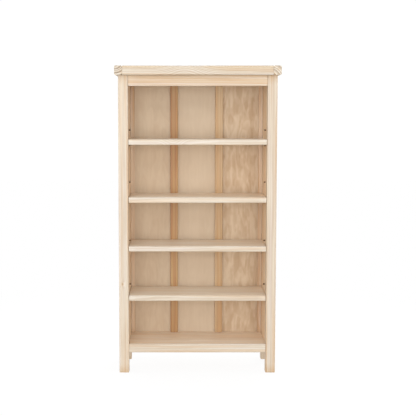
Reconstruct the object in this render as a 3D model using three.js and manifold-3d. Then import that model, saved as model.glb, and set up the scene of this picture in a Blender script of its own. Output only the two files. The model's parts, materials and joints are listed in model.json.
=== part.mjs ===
// Bookcase with four adjustable shelves: a pine frame-and-panel case on four square legs, with a
// thick breadboard-ended top, a three-panel plywood back and shelves that lie on steel pegs.
// Millimetres, +Z up. The origin is on the floor, under the middle of the whole.
// The front faces -Y.

import * as THREE from 'three';
import { mergeVertices } from 'three/addons/utils/BufferGeometryUtils.js';
import Module from 'manifold-3d';

// ---------------------------------------------------------------- driving dimensions

const overallHeight = 1500;
const topWidth = 800;
const topDepth = 310;
const topThickness = 44;
const sideOverhang = 17;
const frontOverhang = 20;
const breadboardWidth = 38;
const breadboardStep = 1;

const legSize = 47;
const topRailHeight = 52;
const rearTopRailHeight = 26;
const railThickness = 24;
const topRailSetback = 6;
const floorHeight = 101;
const bottomRailHeight = 41;
const bottomRailSetback = 1.5;
const bottomBoardThickness = 20;
const sidePanelThickness = 18;
const sideRailHeight = 70;
const sideRailSetback = 4;

const uprightWidth = 38;
const uprightThickness = 38;
const uprightSpacing = 229;
const cornerStripWidth = 20;
const backPanelThickness = 6;
const backRecess = 22;
const rearSetback = 6;

const shelfThickness = 27;
const shelfTops = [1148, 867, 628, 385];
const shelfSideGap = 1.5;
const shelfFrontSetback = 2;
const shelfBackGap = 2;

const pegStudRadius = 4;
const pegStudLength = 8;
const pegStudRounding = 1.2;
const pegShankRadius = 2.5;
const pegShankLength = 10;
const pegSegments = 10;
const pegPitch = 25;
const pegHolesBelow = 1;
const pegHolesAbove = 4;
const sparePegSteps = [3, 4, 2, 3];
const pegColumnSetback = 75;
const pegColumnSpacing = 130;
const holeExtraDepth = 2;
const holeTipLength = 1;
const holeSegments = 8;

const railTenonLength = 18;
const tenonThicknessShare = 1 / 3;
const tenonHeightShare = 0.6;
const uprightTenonLength = 12;
const uprightTenonWidth = 20;
const uprightTenonThickness = 8;
const uprightTenonSetback = 4;
const topTongueThickness = 14;
const topTongueLength = 12;
const topTongueMargin = 24;
const panelTongueThickness = 6;
const panelTongueMargin = 15;
const grooveDepth = 8;
const topGrooveDepth = 4;

const buttonLength = 36;
const buttonWidth = 24;
const buttonThickness = 18;
const buttonLip = 7;
const buttonSpacing = 250;

const clearance = 0.3;
const overrun = 5;
const rootInset = 2;
const endBevel = 1;
const arris = { board: 2.5, thinBoard: 1.5, sidePanel: 1.2, top: 3, breadboard: 5, shelf: 3.5 };

// ---------------------------------------------------------------- derived places

const [X, Y, Z] = [0, 1, 2];
const sides = { left: -1, right: 1 };
const directions = [-1, 1];

const topUnderside = overallHeight - topThickness;
const joinedUnderside = topUnderside - clearance;
const bodyHalfWidth = topWidth / 2 - sideOverhang;
const innerHalfWidth = bodyHalfWidth - legSize;
const frontPlane = -topDepth / 2 + frontOverhang;
const rearPlane = topDepth / 2;
const frontLegBack = frontPlane + legSize;
const rearLegFront = rearPlane - legSize;
const bottomTop = floorHeight + bottomRailHeight;
const bottomBoardUnderside = bottomTop - bottomBoardThickness;
const railUnderside = topUnderside - topRailHeight;
const backTop = topUnderside - rearTopRailHeight;
const uprightBack = rearPlane - rearSetback;
const uprightFront = uprightBack - uprightThickness;
const panelBack = rearPlane - backRecess;
const panelFront = panelBack - backPanelThickness;

// ---------------------------------------------------------------- materials

const finishes = {
  pine: { color: 0xe9dbc6, roughness: 0.62, metalness: 0 },
  pineTop: { color: 0xe0cfb4, roughness: 0.6, metalness: 0 },
  pineWarm: { color: 0xc9a57f, roughness: 0.65, metalness: 0 },
  plywood: { color: 0xd2b592, roughness: 0.7, metalness: 0 },
  bronze: { color: 0x6b4a30, roughness: 0.4, metalness: 0.8 },
};

// ---------------------------------------------------------------- solids

const wasm = await Module();
wasm.setup();

const weldDistance = 1e-4;

function toSolid(geometry) {
  const bare = geometry.clone();
  bare.deleteAttribute('normal');
  bare.deleteAttribute('uv');
  const welded = mergeVertices(bare, weldDistance);
  return new wasm.Manifold(new wasm.Mesh({
    numProp: 3,
    vertProperties: new Float32Array(welded.attributes.position.array),
    triVerts: new Uint32Array(welded.index.array),
  }));
}

function toGeometry(solid) {
  const mesh = solid.getMesh();
  const geometry = new THREE.BufferGeometry();
  geometry.setAttribute('position', new THREE.BufferAttribute(new Float32Array(mesh.vertProperties), 3));
  geometry.setIndex(new THREE.BufferAttribute(new Uint32Array(mesh.triVerts), 1));
  geometry.computeVertexNormals();
  return geometry;
}

// A span is [lowest, highest] along X, Y and Z. Every board and cutter is given as one.
function ordered(a, b) {
  return [Math.min(a, b), Math.max(a, b)];
}

function around(middle, width) {
  return [middle - width / 2, middle + width / 2];
}

function sizeOf(span) {
  return span.map(([low, high]) => high - low);
}

function middleOf(span) {
  return span.map(([low, high]) => (low + high) / 2);
}

function grow(span, by) {
  return span.map(([low, high]) => [low - by, high + by]);
}

function spanBox(span) {
  return new THREE.BoxGeometry(...sizeOf(span)).translate(...middleOf(span));
}

function roundedRectangle(width, height, radius) {
  const x = width / 2 - radius;
  const y = height / 2 - radius;
  const shape = new THREE.Shape();
  shape.moveTo(x, -y - radius);
  shape.absarc(x, -y, radius, -Math.PI / 2, 0);
  shape.absarc(x, y, radius, 0, Math.PI / 2);
  shape.absarc(-x, y, radius, Math.PI / 2, Math.PI);
  shape.absarc(-x, -y, radius, Math.PI, Math.PI * 1.5);
  return shape;
}

// A sawn and planed board. Its section is a rounded rectangle and its ends are eased.
function boardGeometry(span, along, edgeRadius) {
  const size = sizeOf(span);
  const across = size[(along + 1) % 3];
  const upward = size[(along + 2) % 3];
  const shape = roundedRectangle(
    across - 2 * endBevel,
    upward - 2 * endBevel,
    edgeRadius - endBevel / 2,
  );
  const geometry = new THREE.ExtrudeGeometry(shape, {
    depth: size[along] - 2 * endBevel,
    bevelEnabled: true,
    bevelThickness: endBevel,
    bevelSize: endBevel,
    bevelSegments: 1,
    curveSegments: 2,
  });
  geometry.translate(0, 0, -size[along] / 2 + endBevel);
  const axes = [0, 1, 2].map((i) => new THREE.Vector3().setComponent((along + 1 + i) % 3, 1));
  geometry.applyMatrix4(new THREE.Matrix4().makeBasis(...axes));
  return geometry.translate(...middleOf(span));
}

// A board with square-edged additions, such as tenons, and cuts, such as mortises.
function joined(geometry, additions, cuts) {
  let solid = toSolid(geometry);
  for (const span of additions) {
    solid = solid.add(toSolid(spanBox(span)));
  }
  for (const span of cuts) {
    solid = solid.subtract(toSolid(spanBox(span)));
  }
  return toGeometry(solid);
}

const bookcase = new THREE.Group();

function addPiece(name, geometry, finishName) {
  const mesh = new THREE.Mesh(geometry, new THREE.MeshStandardMaterial(finishes[finishName]));
  mesh.name = name;
  bookcase.add(mesh);
}

// The stretch of a tenon or tongue along its board: it starts a little inside the end face.
function beyond(face, direction, length) {
  return ordered(face - direction * rootInset, face + direction * length);
}

// ---------------------------------------------------------------- rails, as spans

const betweenLegs = [-innerHalfWidth + clearance, innerHalfWidth - clearance];
const frontToRearLeg = [frontLegBack + clearance, rearLegFront - clearance];
const topRailFront = frontPlane + topRailSetback;
const bottomRailFront = frontPlane + bottomRailSetback;

const rails = {
  topFront: [
    betweenLegs,
    [topRailFront, topRailFront + railThickness],
    [railUnderside, joinedUnderside],
  ],
  topRear: [betweenLegs, [uprightFront, uprightBack], [backTop, joinedUnderside]],
  bottomFront: [
    betweenLegs,
    [bottomRailFront, bottomRailFront + railThickness],
    [floorHeight, bottomTop],
  ],
  bottomRear: [
    betweenLegs,
    [uprightFront, uprightBack],
    [floorHeight, bottomBoardUnderside - clearance],
  ],
};

const mortises = [];

function addRail(name, span, along, finishName, cuts = []) {
  const middle = middleOf(span);
  const size = sizeOf(span);
  const acrossAxis = along === X ? Y : X;
  const tenons = directions.map((direction) => {
    const face = direction < 0 ? span[along][0] : span[along][1];
    const tenon = [];
    tenon[along] = beyond(face, direction, railTenonLength);
    tenon[acrossAxis] = around(middle[acrossAxis], size[acrossAxis] * tenonThicknessShare);
    tenon[Z] = around(middle[Z], size[Z] * tenonHeightShare);
    return tenon;
  });
  mortises.push(...tenons.map((tenon) => grow(tenon, clearance)));
  addPiece(name, joined(boardGeometry(span, along, arris.board), tenons, cuts), finishName);
}

// ---------------------------------------------------------------- buttons under the top

// A button's lip enters a slot in the rail, and its body is screwed up to the top.
function buttonSpans(x, railFace, inward) {
  const across = around(x, buttonWidth);
  const near = railFace + inward * clearance;
  const underside = joinedUnderside - buttonThickness;
  return {
    body: [across, ordered(near, near + inward * buttonLength), [underside, joinedUnderside]],
    lip: [
      across,
      ordered(railFace - inward * buttonLip, near + inward * rootInset),
      [underside, underside + buttonThickness / 2],
    ],
  };
}

const buttonXs = [-buttonSpacing, 0, buttonSpacing];
const buttons = {
  front: buttonXs.map((x) => buttonSpans(x, rails.topFront[Y][1], 1)),
  rear: buttonXs.map((x) => buttonSpans(x, rails.topRear[Y][0], -1)),
};

for (const [row, spans] of Object.entries(buttons)) {
  spans.forEach(({ body, lip }, i) => {
    const block = boardGeometry(body, X, arris.thinBoard);
    addPiece(`top_button_${row}_${i + 1}`, joined(block, [lip], []), 'pineWarm');
  });
}

function buttonSlots(row) {
  return buttons[row].map(({ lip }) => grow(lip, clearance * 2));
}

// ---------------------------------------------------------------- back

const panelGroove = [panelFront - clearance, panelBack + clearance];
const grooveAcross = [-innerHalfWidth - overrun, innerHalfWidth + overrun];
const bottomGroove = [grooveAcross, panelGroove, [bottomTop - grooveDepth, bottomTop + overrun]];
const topGroove = [grooveAcross, panelGroove, [backTop - overrun, backTop + topGrooveDepth]];
const uprightXs = { left: -uprightSpacing / 2, right: uprightSpacing / 2 };
const uprightMortises = [];

for (const [side, x] of Object.entries(uprightXs)) {
  const heights = [bottomTop + clearance, backTop - clearance];
  const span = [around(x, uprightWidth), [uprightFront, uprightBack], heights];
  const tenonFront = uprightFront + uprightTenonSetback;
  const tenons = directions.map((direction) => [
    around(x, uprightTenonWidth),
    [tenonFront, tenonFront + uprightTenonThickness],
    beyond(direction < 0 ? heights[0] : heights[1], direction, uprightTenonLength),
  ]);
  uprightMortises.push(...tenons.map((tenon) => grow(tenon, clearance)));
  const grooves = directions.map((direction) => {
    const face = x + direction * uprightWidth / 2;
    return [
      ordered(face - direction * grooveDepth, face + direction * overrun),
      panelGroove,
      [bottomTop - overrun, backTop + overrun],
    ];
  });
  addPiece(
    `back_upright_${side}`,
    joined(boardGeometry(span, Z, arris.board), tenons, grooves),
    'pineWarm',
  );
}

const panelPlay = 2 * clearance;
const outerPanelEdge = innerHalfWidth + grooveDepth - panelPlay;
const uprightPanelEdge = uprightWidth / 2 - grooveDepth + panelPlay;
const panelEdges = {
  left: [-outerPanelEdge, uprightXs.left - uprightPanelEdge],
  centre: [uprightXs.left + uprightPanelEdge, uprightXs.right - uprightPanelEdge],
  right: [uprightXs.right + uprightPanelEdge, outerPanelEdge],
};
for (const [place, edges] of Object.entries(panelEdges)) {
  const heights = [bottomTop - grooveDepth + panelPlay, backTop + topGrooveDepth - panelPlay];
  addPiece(`back_panel_${place}`, spanBox([edges, [panelFront, panelBack], heights]), 'plywood');
}

for (const [side, sign] of Object.entries(sides)) {
  const span = [
    ordered(sign * betweenLegs[1], sign * (innerHalfWidth - cornerStripWidth)),
    [uprightFront, panelFront - clearance],
    [bottomTop + clearance, backTop - clearance],
  ];
  addPiece(`back_corner_strip_${side}`, boardGeometry(span, Z, arris.thinBoard), 'pineWarm');
}

// ---------------------------------------------------------------- rails, placed

addRail('top_rail_front', rails.topFront, X, 'pine', buttonSlots('front'));
addRail(
  'top_rail_rear',
  rails.topRear,
  X,
  'pineWarm',
  [...buttonSlots('rear'), topGroove, ...uprightMortises],
);
addRail('bottom_rail_front', rails.bottomFront, X, 'pine');
addRail('bottom_rail_rear', rails.bottomRear, X, 'pineWarm');

for (const [side, sign] of Object.entries(sides)) {
  const across = ordered(
    sign * (bodyHalfWidth - sideRailSetback),
    sign * (innerHalfWidth + sidePanelThickness + clearance),
  );
  const heights = {
    top: [topUnderside - sideRailHeight, joinedUnderside],
    bottom: [floorHeight, floorHeight + sideRailHeight],
  };
  for (const [place, upright] of Object.entries(heights)) {
    addRail(`side_rail_${place}_${side}`, [across, frontToRearLeg, upright], Y, 'pine');
  }
}

// ---------------------------------------------------------------- bottom board

const bottomBoard = [
  betweenLegs,
  [rails.bottomFront[Y][1] + clearance, uprightBack],
  [bottomBoardUnderside, bottomTop],
];
addPiece(
  'bottom_board',
  joined(boardGeometry(bottomBoard, X, arris.thinBoard), [], [bottomGroove, ...uprightMortises]),
  'pine',
);

// ---------------------------------------------------------------- side panels with peg holes

const pegColumns = {
  front: frontPlane + pegColumnSetback,
  rear: frontPlane + pegColumnSetback + pegColumnSpacing,
};
const pegHeights = shelfTops.map((top) => top - shelfThickness - clearance - pegStudRadius);

// A turned solid about the X axis, from profile points of [distance out into the panel, radius].
function turnedAlongX(profile, segments, sign, y, z) {
  const points = profile.map(([outward, radius]) => new THREE.Vector2(radius, outward));
  const geometry = new THREE.LatheGeometry(points, segments).rotateZ(-sign * Math.PI / 2);
  return geometry.translate(sign * innerHalfWidth, y, z);
}

function pegHole(sign, y, z) {
  const depth = pegShankLength + holeExtraDepth;
  const radius = pegShankRadius + clearance;
  const profile = [[-overrun, 0], [-overrun, radius], [depth - holeTipLength, radius], [depth, 0]];
  return turnedAlongX(profile, holeSegments, sign, y, z);
}

const panelTongues = {};
for (const [side, sign] of Object.entries(sides)) {
  const across = ordered(sign * innerHalfWidth, sign * (innerHalfWidth + sidePanelThickness));
  const span = [across, frontToRearLeg, [floorHeight, joinedUnderside]];
  panelTongues[side] = directions.map((direction) => [
    around(middleOf(span)[X], panelTongueThickness),
    beyond(direction < 0 ? frontToRearLeg[0] : frontToRearLeg[1], direction, grooveDepth),
    [floorHeight + panelTongueMargin, topUnderside - panelTongueMargin],
  ]);
  let solid = toSolid(joined(boardGeometry(span, Z, arris.sidePanel), panelTongues[side], []));
  for (const y of Object.values(pegColumns)) {
    for (const height of pegHeights) {
      for (let step = -pegHolesBelow; step <= pegHolesAbove; step += 1) {
        solid = solid.subtract(toSolid(pegHole(sign, y, height + step * pegPitch)));
      }
    }
  }
  addPiece(`side_panel_${side}`, toGeometry(solid), 'pine');
}

// ---------------------------------------------------------------- legs

const legRows = { front: [frontPlane, frontLegBack], rear: [rearLegFront, rearPlane] };
for (const [row, depthSpan] of Object.entries(legRows)) {
  for (const [side, sign] of Object.entries(sides)) {
    const across = ordered(sign * innerHalfWidth, sign * bodyHalfWidth);
    const span = [across, depthSpan, [0, joinedUnderside]];
    const cuts = [...mortises, ...panelTongues[side].map((tongue) => grow(tongue, clearance))];
    if (row === 'rear') {
      cuts.push([
        ordered(sign * (innerHalfWidth + grooveDepth), sign * (innerHalfWidth - overrun)),
        panelGroove,
        [bottomTop - grooveDepth, backTop + topGrooveDepth],
      ]);
    }
    addPiece(`leg_${row}_${side}`, joined(boardGeometry(span, Z, arris.board), [], cuts), 'pine');
  }
}

// ---------------------------------------------------------------- top

const topJoint = topWidth / 2 - breadboardWidth;
const topTongues = Object.values(sides).map((sign) => [
  beyond(sign * topJoint, sign, topTongueLength),
  [-topDepth / 2 + topTongueMargin, topDepth / 2 - topTongueMargin],
  around(topUnderside + topThickness / 2, topTongueThickness),
]);
const topSpan = [
  [-topJoint + clearance, topJoint - clearance],
  [-topDepth / 2 + breadboardStep, topDepth / 2 - breadboardStep],
  [topUnderside, overallHeight - breadboardStep / 2],
];
addPiece('top_board', joined(boardGeometry(topSpan, X, arris.top), topTongues, []), 'pineTop');

for (const [side, sign] of Object.entries(sides)) {
  const span = [
    ordered(sign * topJoint, sign * topWidth / 2),
    [-topDepth / 2, topDepth / 2],
    [topUnderside, overallHeight],
  ];
  const grooves = topTongues.map((tongue) => grow(tongue, clearance));
  const board = boardGeometry(span, Y, arris.breadboard);
  addPiece(`top_breadboard_${side}`, joined(board, [], grooves), 'pineTop');
}

// ---------------------------------------------------------------- shelves

shelfTops.forEach((top, i) => {
  const span = [
    [-innerHalfWidth + shelfSideGap, innerHalfWidth - shelfSideGap],
    [frontPlane + shelfFrontSetback, uprightFront - shelfBackGap],
    [top - shelfThickness, top],
  ];
  addPiece(`shelf_${i + 1}`, boardGeometry(span, X, arris.shelf), 'pine');
});

// ---------------------------------------------------------------- pegs

// The stud points into the case and its shoulder bears on the panel; the shank sits in its hole.
function pegGeometry(sign, y, z) {
  const shoulder = -clearance / 2;
  const profile = [
    [-pegStudLength, 0],
    [-pegStudLength, pegStudRadius - pegStudRounding],
    [-pegStudLength + pegStudRounding, pegStudRadius],
    [shoulder, pegStudRadius],
    [shoulder, pegShankRadius],
    [pegShankLength, pegShankRadius],
    [pegShankLength, 0],
  ];
  return turnedAlongX(profile, pegSegments, sign, y, z);
}

pegHeights.forEach((height, i) => {
  for (const [side, sign] of Object.entries(sides)) {
    for (const [column, y] of Object.entries(pegColumns)) {
      addPiece(`shelf_${i + 1}_peg_${column}_${side}`, pegGeometry(sign, y, height), 'bronze');
    }
    const spareHeight = height + sparePegSteps[i] * pegPitch;
    addPiece(`spare_peg_${i + 1}_${side}`, pegGeometry(sign, pegColumns.front, spareHeight), 'bronze');
  }
});

export default bookcase;
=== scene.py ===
"""The looks of the pine bookcase: planed boards with solid wood figure, plywood back panels and
plated shelf pegs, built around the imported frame. Metres, +Z up, the open front faces -Y."""

import json
import math
from collections import namedtuple

import bmesh
import bpy
from mathutils import Matrix, Vector, noise

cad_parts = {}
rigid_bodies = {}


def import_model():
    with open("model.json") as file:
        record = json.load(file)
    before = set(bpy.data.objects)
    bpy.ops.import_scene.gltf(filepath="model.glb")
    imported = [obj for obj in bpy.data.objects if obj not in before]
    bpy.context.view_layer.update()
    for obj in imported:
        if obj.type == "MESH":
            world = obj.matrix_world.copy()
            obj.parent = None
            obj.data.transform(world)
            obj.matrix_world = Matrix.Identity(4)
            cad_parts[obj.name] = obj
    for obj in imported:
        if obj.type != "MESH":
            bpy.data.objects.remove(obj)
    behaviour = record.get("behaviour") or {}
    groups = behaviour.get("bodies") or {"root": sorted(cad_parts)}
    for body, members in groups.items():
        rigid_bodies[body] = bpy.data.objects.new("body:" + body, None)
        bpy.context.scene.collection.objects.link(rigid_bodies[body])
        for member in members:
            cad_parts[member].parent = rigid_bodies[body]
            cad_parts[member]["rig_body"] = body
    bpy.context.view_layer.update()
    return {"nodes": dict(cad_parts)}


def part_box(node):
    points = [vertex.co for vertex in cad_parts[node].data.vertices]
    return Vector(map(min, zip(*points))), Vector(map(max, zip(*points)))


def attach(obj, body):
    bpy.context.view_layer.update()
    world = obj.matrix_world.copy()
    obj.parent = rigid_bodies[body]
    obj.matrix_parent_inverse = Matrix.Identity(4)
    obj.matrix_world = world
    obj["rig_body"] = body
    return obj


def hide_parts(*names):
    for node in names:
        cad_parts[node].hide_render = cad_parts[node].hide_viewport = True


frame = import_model()

# ------------------------------------------------------------------ driving values

# Arrises: the long ones by board, and the ends.
EDGE_RADIUS = 0.0025
SHELF_EDGE_RADIUS = 0.0038
TOP_EDGE_RADIUS = 0.0035
BREADBOARD_EDGE_RADIUS = 0.006
FLUSH_EDGE_RADIUS = 0.0009
STRIP_EDGE_RADIUS = 0.0008
SHEET_EDGE_RADIUS = 0.0005
BUTTON_EDGE_RADIUS = 0.0012
END_RADIUS = 0.0012
LONG_EDGE_SEGMENTS = 4
END_SEGMENTS = 2
BUTTON_SEGMENTS = 3
SAME_PLACE = 1e-6

# Boards: slices and the planer's waves along them, glued strips, the width of the painted shade lines
# along the uprights and corner strips of the back where they meet the panels, the gap between neighbours,
# and the seeds that don't count materials.
SLICE_LENGTH = 0.045
PLANING_WAVE = 0.00012
PLANING_SCALE = 14.0
STRIP_WIDTH = 0.062
TOP_STRIP_WIDTH = 0.0775
GLUE_LINE_REACH = (0.0006, 0.0001)
PITH_SPREAD = (0.05, 0.03)
PAINTED_SHADE_LINE_WIDTH = 0.005
GAP = 0.0003
PANEL_SEED = 40.0
BUTTON_SEED = 60.0

# Pegs and their holes. Distances along a peg start at the panel's inner face and run into the panel.
PEG_COLUMNS = ("front", "rear")
PEG_PITCH = 0.025
PEG_HOLES_BELOW = 1
PEG_HOLES_ABOVE = 4
PEG_HOLE_DEPTH = 0.012
PEG_HOLE_CONE = 0.001
HOLE_FLARE = 0.0006
HOLE_OVERSHOOT = 0.002
HOLE_SEGMENTS = 24
PEG_SEGMENTS = 32
PEG_SHANK_RADIUS = 0.0025
PEG_SHANK_EASE = 0.0006
PEG_DOME_RADIUS = 0.0016
PEG_DOME_STEPS = 5
PEG_SHOULDER = -0.00015
PEG_SHOULDER_EASE = (0.00025, 0.0003)
PEG_RIM_TOLERANCE = 1e-5
GROOVE_SLOPE = 0.0003
STUD_GROOVE = {"start": -0.0021, "width": 0.0011, "depth": 0.0005}
SHANK_GROOVE = {"width": 0.001, "depth": 0.0002}
SHANK_GROOVE_STARTS = (0.0025, 0.0045, 0.0065)

# The buttons' screws: an outline of (distance along the axis, radius), and the blades of the cross slot.
SCREW_HEAD = [
    (0.002, 0), (0.002, 0.0042), (-0.0006, 0.0042), (-0.0014, 0.0036), (-0.0019, 0.0022), (-0.002, 0),
]
SCREW_SEGMENTS = 28
SLOT_BLADE = (0.0046, 0.0009, 0.0026)
SLOT_MIDDLE = -0.0017
SLOT_ANGLES = (0.25 * math.pi, 0.75 * math.pi)

# The camera's pitch is in degrees, its lens and sensor in millimetres.
CAMERA_X = -0.0997
CAMERA_DISTANCE = 4.3
CAMERA_HEIGHT = 1.258
CAMERA_PITCH = 5.0715
CAMERA_CLIP_END = 60.0
LENS = 77.118
SENSOR_WIDTH = 36.0
SHIFT = (0.0745, -0.03)

SKY_LIGHT = 0.85
GROUND_LIGHT = 0.80
SEEN_LIGHT = 1.02
SKY_COLOUR = (1.0, 1.0, 1.0)
GROUND_COLOUR = (1.0, 0.93, 0.85)
LAMP_TARGET = (0.0, 0.0, 0.75)
# Each lamp's place, its width and height, and its power.
LAMPS = {
    "front": ((0.0, -5.2, 0.85), (4.0, 2.6), 122.0),
    "high": ((-1.2, -4.2, 3.8), (3.2, 2.0), 52.0),
    "left": ((-4.0, -4.0, 1.6), (2.0, 2.6), 30.0),
    "right": ((4.0, -4.0, 1.6), (2.0, 2.6), 18.0),
    "rear": ((1.8, 4.0, 2.8), (2.6, 1.8), 110.0),
    "left_flank": ((-4.4, 0.5, 1.6), (2.2, 2.6), 60.0),
    "right_flank": ((4.4, 0.5, 1.6), (2.2, 2.6), 60.0),
}

FLOOR_RADIUS = 14.0
FLOOR_SEGMENTS = 96
FLOOR_COLOUR = (0.93, 0.93, 0.93)
FLOOR_GLOW = 0.9
FLOOR_GLOW_REACH = (0.3, 2.2)

# The mix node's sockets for colours.
MIX_FIRST, MIX_SECOND, MIX_RESULT = 6, 7, 2
X, Y, Z = 0, 1, 2
SIDES = {"left": -1, "right": 1}


# ------------------------------------------------------------------ node trees

class Tree:
    """Short calls for the shader nodes used here. A value is a number, a tuple or a socket."""

    def __init__(self, tree):
        self.nodes = tree.nodes
        self.links = tree.links

    def add(self, kind, **settings):
        node = self.nodes.new(kind)
        for name, value in settings.items():
            setattr(node, name, value)
        return node

    def feed(self, socket, value):
        if isinstance(value, bpy.types.NodeSocket):
            self.links.new(value, socket)
        else:
            socket.default_value = value

    def maths(self, operation, *values, clamp=False):
        node = self.add("ShaderNodeMath", operation=operation, use_clamp=clamp)
        for socket, value in zip(node.inputs, values):
            self.feed(socket, value)
        return node.outputs["Value"]

    def vector(self, operation, *values):
        node = self.add("ShaderNodeVectorMath", operation=operation)
        for socket, value in zip(node.inputs, values):
            self.feed(socket, value)
        return node.outputs["Value" if operation == "LENGTH" else "Vector"]

    def noise(self, place, scale, detail=2.0, roughness=0.5, output="Fac"):
        node = self.add("ShaderNodeTexNoise")
        self.feed(node.inputs["Vector"], place)
        node.inputs["Scale"].default_value = scale
        node.inputs["Detail"].default_value = detail
        node.inputs["Roughness"].default_value = roughness
        return node.outputs[output]

    def grain_noise(self, place, stretch, scale, **settings):
        """Noise drawn out along the third coordinate. The smaller stretch is, the longer it is drawn."""
        return self.noise(self.vector("MULTIPLY", place, (1.0, 1.0, stretch)), scale, **settings)

    def noise_along(self, value, scale, detail=1.0):
        node = self.add("ShaderNodeTexNoise", noise_dimensions="1D")
        self.feed(node.inputs["W"], value)
        node.inputs["Scale"].default_value = scale
        node.inputs["Detail"].default_value = detail
        return node.outputs["Fac"]

    def smooth(self, value, low, high, to_low=0.0, to_high=1.0):
        node = self.add("ShaderNodeMapRange", interpolation_type="SMOOTHSTEP")
        for socket, given in zip(node.inputs, (value, low, high, to_low, to_high)):
            self.feed(socket, given)
        return node.outputs["Result"]

    def mix(self, factor, first, second, blend="MIX"):
        node = self.add("ShaderNodeMix", data_type="RGBA", blend_type=blend)
        self.feed(node.inputs["Factor"], factor)
        self.feed(node.inputs[MIX_FIRST], first)
        self.feed(node.inputs[MIX_SECOND], second)
        return node.outputs[MIX_RESULT]

    def tinted(self, factor, colour, tint):
        return self.mix(factor, colour, opaque(tint), "MULTIPLY")

    def scaled(self, vector, scale):
        node = self.add("ShaderNodeVectorMath", operation="SCALE")
        self.feed(node.inputs["Vector"], vector)
        self.feed(node.inputs["Scale"], scale)
        return node.outputs["Vector"]

    def parts(self, vector):
        node = self.add("ShaderNodeSeparateXYZ")
        self.feed(node.inputs[0], vector)
        return node.outputs

    def joined(self, parts):
        node = self.add("ShaderNodeCombineXYZ")
        for socket, part in zip(node.inputs, parts):
            self.feed(socket, part)
        return node.outputs[0]

    def bump(self, height, strength, distance):
        node = self.add("ShaderNodeBump")
        node.inputs["Strength"].default_value = strength
        node.inputs["Distance"].default_value = distance
        self.feed(node.inputs["Height"], height)
        return node.outputs["Normal"]


def opaque(colour):
    return (*colour, 1.0)


def new_material(name):
    material = bpy.data.materials.new(name)
    material.use_nodes = True
    tree = Tree(material.node_tree)
    return material, tree, tree.nodes["Principled BSDF"]


def new_group(name, inputs, outputs):
    group = bpy.data.node_groups.new(name, "ShaderNodeTree")
    for label, kind in inputs:
        group.interface.new_socket(name=label, in_out="INPUT", socket_type=kind)
    for label in outputs:
        group.interface.new_socket(name=label, in_out="OUTPUT", socket_type="NodeSocketFloat")
    tree = Tree(group)
    return group, tree, tree.add("NodeGroupInput").outputs, tree.add("NodeGroupOutput").inputs


# ------------------------------------------------------------------ wood and metal

# The long noises of the pine figure, how far and high rings bulge around a knot in knot radii, how far the
# bulge and the knot are drawn out along the grain, and how uneven and sharp the rings are.
FIGURE_NOISES = {
    "Streaks": {"stretch": 0.030, "scale": 110.0, "detail": 3.0, "roughness": 0.55},
    "Bands": {"stretch": 0.022, "scale": 62.0, "detail": 1.0, "roughness": 0.55},
    "Fibre": {"stretch": 0.020, "scale": 900.0, "detail": 2.0, "roughness": 0.55},
}
BULGE_REACH = 3.0
BULGE_HEIGHT = 3.4
BULGE_STRETCH = 0.42
KNOT_STRETCH = 0.72
UNEVEN_SCALE = 0.37
UNEVEN_SHARE = 1.9
RING_SHARPNESS = 1.5


def pine_figure_group():
    """Solid pine: growth rings about a pith, long streaks and bands, fine fibre, slow blotches and a knot
    that the rings bulge around. Place is a point of the board with the grain along its third coordinate,
    and From knot the same point measured from the knot."""
    vector, number = "NodeSocketVector", "NodeSocketFloat"
    group, tree, given, made = new_group(
        "pine figure",
        [("Place", vector), ("Seed", vector), ("Pith", vector), ("Spacing", number), ("Wave", number),
         ("From knot", vector), ("Knot axis", vector), ("Knot radius", number)],
        ["Rings", "Radial", "Streaks", "Bands", "Fibre", "Blotches", "Knot reach"],
    )
    place = given["Place"]
    sample = tree.vector("ADD", place, given["Seed"])

    wander = tree.grain_noise(sample, stretch=0.17, scale=7.0, output="Color")
    wander = tree.vector("SUBTRACT", wander, (0.5, 0.5, 0.5))
    wander = tree.vector("MULTIPLY", wander, (1.0, 1.0, 0.0))
    bent = tree.vector("ADD", place, tree.scaled(wander, given["Wave"]))
    bent_sample = tree.vector("ADD", bent, given["Seed"])

    spread = knot_distance(tree, given, BULGE_STRETCH)
    reach = tree.maths("DIVIDE", spread, tree.maths("MULTIPLY", given["Knot radius"], BULGE_REACH))
    bulge = tree.maths("EXPONENT", tree.maths("MULTIPLY", tree.maths("MULTIPLY", reach, reach), -1.0))
    bulge = tree.maths("MULTIPLY", bulge, tree.maths("MULTIPLY", given["Knot radius"], BULGE_HEIGHT))

    from_pith = tree.vector("MULTIPLY", tree.vector("SUBTRACT", bent, given["Pith"]), (1.0, 1.0, 0.0))
    radial = tree.maths("ADD", tree.vector("LENGTH", from_pith), bulge)
    phase = tree.maths("DIVIDE", radial, given["Spacing"])
    uneven = tree.maths("MULTIPLY", tree.noise_along(phase, UNEVEN_SCALE), UNEVEN_SHARE)
    year = tree.maths("FRACT", tree.maths("ADD", phase, uneven))
    rise = tree.maths("POWER", tree.smooth(year, 0.02, 0.86), RING_SHARPNESS)
    fall = tree.smooth(year, 0.88, 1.0, to_low=1.0, to_high=0.0)
    tree.feed(made["Rings"], tree.maths("MULTIPLY", rise, fall))
    tree.feed(made["Radial"], radial)

    for label, settings in FIGURE_NOISES.items():
        tree.feed(made[label], tree.grain_noise(bent_sample, **settings))
    tree.feed(made["Blotches"], tree.grain_noise(sample, stretch=0.35, scale=5.0))

    core = knot_distance(tree, given, KNOT_STRETCH)
    tree.feed(made["Knot reach"], tree.maths("DIVIDE", core, given["Knot radius"]))
    return group


def knot_distance(tree, given, stretch):
    """How far the place is from the knot's axis. Below 1, stretch draws the knot out along the grain."""
    near = tree.vector("MULTIPLY", given["From knot"], (1.0, 1.0, stretch))
    return tree.vector("LENGTH", tree.vector("CROSS_PRODUCT", near, given["Knot axis"]))


PINE_FIGURE = pine_figure_group()

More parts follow.
